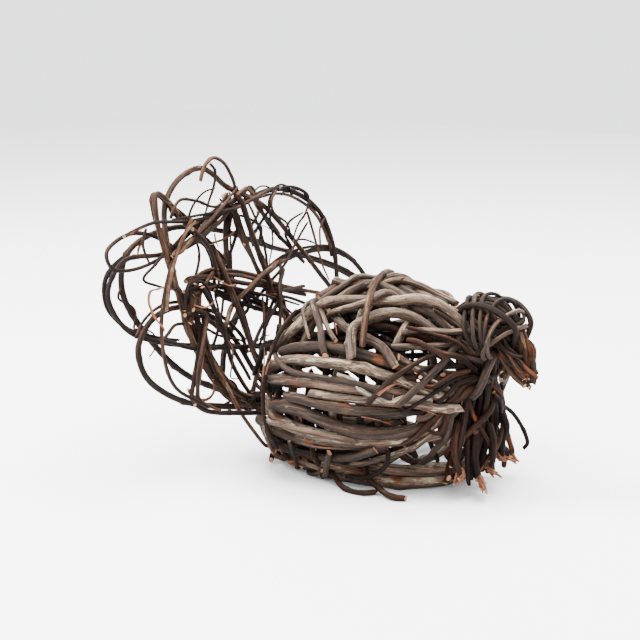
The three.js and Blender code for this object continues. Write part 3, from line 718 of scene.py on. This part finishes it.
rng = np.random.default_rng(11)
NECK_COUNT = 26
neck = []
for i in range(NECK_COUNT):
    # Evenly spread over the round section of the neck
    reach, turn = math.sqrt((i + 0.5) / NECK_COUNT), 2.4 * i
    front, side = reach * math.cos(turn), reach * math.sin(turn)
    foot = turn + 1.5 * math.sin(1.7 * i)
    neck.append((rng.uniform(3.6, 5.6), [ORIGIN + MM * np.array(place) for place in (
        (THROAT[0] + 19 * reach * math.cos(foot), -40 * reach * math.sin(foot) - 2, rng.uniform(6, 22)),
        (THROAT[0] + 13 * front - 6, -26 * side, 55 + rng.uniform(-5, 5)),
        (THROAT[0] + 10 * front - 1, -11 * side - 2, THROAT[2] + 1),
        (HEAD_CENTRE[0] + 12 * front - 2, -11 * side - 2, HEAD_CENTRE[2] - 12),
    )]))
TIE_ANGLES = (24, 40, 54, 68, 80, 90, 100, 110, 124, -34, -56, -76, -94, -112)
for i, angle in enumerate(TIE_ANGLES):
    side = math.copysign(1, angle)
    neck.append((rng.uniform(3.4, 5.4), [
        ORIGIN + MM * (THROAT + (rng.uniform(0, 8), -side * 12, 6 - 1.2 * i)),
        on_body(1.01, 0.7 * angle + 12 * side, 6),
        on_body(0.95, angle, 6),
        on_body(0.87 + 0.05 * math.sin(5 * i), angle + 14 * side * math.sin(3 * i), 5),
    ]))
TORN_FEET = [
    # stubs whose ends are torn: place of the end from below the throat, near side first, and the way it points
    ((4, -36, 20), (0, -4, -7)), ((15, -24, 15), (6, -4, -6)), ((24, -8, 16), (8, -1, -5)),
    ((22, 12, 20), (8, 3, -4)), ((8, 32, 18), (2, 5, -6)),
]
WRAP_COUNT = 9
for i in range(WRAP_COUNT):
    # Slanting turns that tie the neck together on their way down
    start, sweep, top = 2.1 * i, (2.6 if i % 2 else -2.4), rng.uniform(70, 98)
    wrap = []
    for t in (0, 0.25, 0.5, 0.75, 1):
        height = top - (top - 24) * t ** 1.2
        girth = 10 + 0.3 * (THROAT[2] - height)
        a = start + sweep * t
        wrap.append(ORIGIN + MM * np.array([THROAT[0] + 0.62 * girth * math.cos(a), -1.05 * girth * math.sin(a) - 2, height]))
    neck.append((rng.uniform(3.4, 5.4), wrap))
for place, way in TORN_FEET:
    foot = np.array([THROAT[0], 0, 0]) + place
    neck.append((5.6, [ORIGIN + MM * (foot + back) for back in ((-8, -0.2 * place[1], 40), (-5, 0, 18), (0, 0, 0))]))
# The neck strands take the darkened bark, painted shade under the head
grow_strands("neck_strands", neck, 12, [shade_darkened_bark, cut_wood], "dark_bark", bare=0.1, kink=0.4, tip=0.75)
torn_ends = [line[-1, :3] for line in laid[-len(TORN_FEET):]]

THROAT_STICKS = [
    # short stout sticks laid over the throat: diameter and route in mm
    (6.5, [(120, -9, 114), (114, -18, 98), (108, -26, 80)]),
    (5, [(100, -34, 92), (92, -48, 78), (82, -60, 66)]),
    (5.5, [(116, 12, 108), (108, 26, 90), (98, 40, 76)]),
]
grow_strands("throat_sticks", [
    (diameter, [ORIGIN + MM * np.array(place) for place in route]) for diameter, route in THROAT_STICKS
], 19, [weathered, cut_wood], "dark_bark", bare=0.12)

# Turns from the throat up over the head and back to it, fanned out from the nape to the beak,
# over a ladder of shorter ribs
HEAD_KNOT = HEAD_CENTRE + (6, -3, -21)
FAN_COUNT = 9
CORE_COUNT = 13
core = []
for i in range(CORE_COUNT):
    lean = -84 + 168 * i / (CORE_COUNT - 1)
    core.append((rng.uniform(3.8, 4.8), [
        over_head(turn, lean + 8 * math.sin(2 * i), 0.66) for turn in (215, 170, 130, 90, 50, 10, -30)
    ]))
# The core inside the head takes the darkened bark, painted shade within the head
grow_strands("head_core", core, 20, [shade_darkened_bark, cut_wood], "dark_bark", bare=0.1, kink=0.5)

RUNG_COUNT = 8
RUNG_SLOPE = math.radians(33)
rungs = []
for i in range(RUNG_COUNT):
    offset = -17 + 34 * i / (RUNG_COUNT - 1)
    girth = 0.8 * math.sqrt(HEAD_HEIGHT ** 2 / 4 - offset ** 2)
    middle = HEAD_CENTRE + (offset * math.sin(RUNG_SLOPE) - 1, 0, offset * math.cos(RUNG_SLOPE) + 1)
    rungs.append((rng.uniform(2.8, 3.4), [
        ORIGIN + MM * (middle + girth * np.array([
            math.cos(a) * math.cos(RUNG_SLOPE), 0.9 * math.sin(a), -math.cos(a) * math.sin(RUNG_SLOPE),
        ])) for a in np.radians(np.linspace(150, 480, 11) + 12 * math.sin(3 * i))
    ]))
grow_strands("head_ladder", rungs, 18, [weathered, cut_wood], "dark_bark", bare=0.1, kink=0.4, tip=0.8)
head = []
for i in range(FAN_COUNT):
    turn = math.radians(205 - 190 * i / (FAN_COUNT - 1))
    top = HEAD_CENTRE + (1.12 * HEAD_LENGTH / 2 * math.cos(turn), 0, 1.18 * HEAD_HEIGHT / 2 * math.sin(turn))
    middle, half = (HEAD_KNOT + top) / 2, (top - HEAD_KNOT) / 2
    width = HEAD_WIDTH / 2 * rng.uniform(0.98, 1.12)
    head.append((rng.uniform(3, 4.4), [
        ORIGIN + MM * (middle + half * math.cos(a) + np.array([3 * math.sin(2 * a + i), width * math.sin(a), 0]))
        for a in np.radians(np.linspace(-172, 150, 9))
    ]))
grow_strands("head_strands", head, 13, [weathered, cut_wood], "dark_bark", bare=0.08, kink=0.4, tip=0.8, tone=-0.5)

BEAK_COUNT = 16
beak = []
for i in range(BEAK_COUNT):
    share, side = (i * 0.618) % 1, math.sin(2.4 * i)
    start = HEAD_CENTRE + (14 + 17 * share, 8 * side - 3, -17 + 16 * share)
    end = BEAK_TIP + np.array([-3 + 5 * share, 3 * side, rng.uniform(-1, 10)])
    bend = np.array([3 * (share - 0.3), side, 2])
    beak.append((rng.uniform(3, 4.6), [ORIGIN + MM * (start + (end - start) * t + 4 * t * (1 - t) * bend) for t in (0, 0.5, 1)]))
for i in range(3):
    centre = HEAD_CENTRE + (20 + 2 * i, -3, -14 + 3 * i)
    beak.append((3, [
        ORIGIN + MM * (centre + np.array([9 * math.cos(a), 9 * math.sin(a), -8 * math.cos(a)]))
        for a in np.radians(np.linspace(0, 330, 8) + 50 * i)
    ]))
grow_strands("beak_sticks", beak, 14, [dark_bark, cut_wood], "dark_bark", bare=0.26, kink=0.2)

# Torn bark: rust-brown inner bark that peels off the vines in strips and frays at the feet of the neck
rng = np.random.default_rng(15)
bm = bmesh.new()
PEEL_COUNT = 50
PEEL_HOMES = body_nodes * 2 + tail_nodes + slim_nodes * 2
for i in range(PEEL_COUNT):
    line = lines[PEEL_HOMES[rng.integers(len(PEEL_HOMES))]]
    count = int(rng.integers(7, 13))
    first = int(rng.integers(0, max(1, len(line) - count)))
    line = line[first:first + count]
    along, across, beside = directions(line)
    turn = rng.uniform(0, 2 * math.pi)
    side = across * math.cos(turn) + beside * math.sin(turn)
    share = np.linspace(0, 1, len(line)) ** 2
    peel = line.copy()
    peel[:, :3] += side * (line[:, 3] * 0.98 + share * rng.uniform(2, 9) * MM)[:, None]
    peel[:, 3] = rng.uniform(1, 2.2) * MM
    peel[:, 2] = np.maximum(peel[:, 2], peel[:, 3])
    grow(bm, bend_through(peel, 2 * MM), rng, sides=8, flat=0.3, knot_gap=200 * MM, tip=0.3, cut=False)
TAIL_PEELS = [
    # strips of inner bark that hang in the fan: width, lift, route of [across, up]
    (2.8, 20, [[0.74, 0.44], [0.81, 0.46], [0.87, 0.46], [0.93, 0.46], [0.96, 0.43], [0.95, 0.39], [0.93, 0.36],
               [0.89, 0.32]]),
    (3.6, 22, [[0.44, 0.46], [0.4, 0.44], [0.35, 0.42], [0.3, 0.42]]),
    (2.8, 22, [[0.63, 0.4], [0.58, 0.38], [0.53, 0.38], [0.5, 0.39]]),
    (4, 22, [[0.34, 0.61], [0.34, 0.58], [0.33, 0.56]]),
    (3, 14, [[0.12, 0.75], [0.08, 0.76], [0.04, 0.77]]),
    (2.8, 12, [[0.61, 0.74], [0.58, 0.73], [0.57, 0.71]]),
]
for width, lift, route in TAIL_PEELS:
    line = lay([on_tail(*place, lift) for place in route], width)
    grow(bm, line, rng, sides=8, flat=0.4, knot_gap=200 * MM, tip=0.5, cut=False)
finish_piece("torn_bark", bm, [inner_bark])

SPLINTER_COUNT = 7
REAR_SPLINTERS = [
    # place in mm and the way that the splinters point
    ((-57, -56, 17), (3, -4, -8)), ((-39, -60, 6), (8, -1, 1)), ((-29, -61, 8), (9, 2, 4)),
]
torn = [(end, way) for end, (place, way) in zip(torn_ends, TORN_FEET)]
torn += [(ORIGIN + MM * np.array(place), way) for place, way in REAR_SPLINTERS]
bm = bmesh.new()
for root, way in torn:
    for i in range(SPLINTER_COUNT):
        start = root + MM * rng.uniform(-2, 2, 3)
        out = MM * (np.array(way) * rng.uniform(0.4, 1) + rng.uniform(-2.5, 2.5, 3))
        radius = rng.uniform(1.8, 3.2) * MM
        route = np.array([(*(start + out * t + MM * np.array([0, 0, 2 * t * t])), radius) for t in (-0.4, 0, 0.5, 1)])
        grow(bm, bend_through(route, 1.5 * MM), rng, sides=8, ridges=0.16, flat=0.5, knot_gap=90 * MM, tip=0.65)
finish_piece("frayed_feet", bm, [inner_bark, cut_wood])
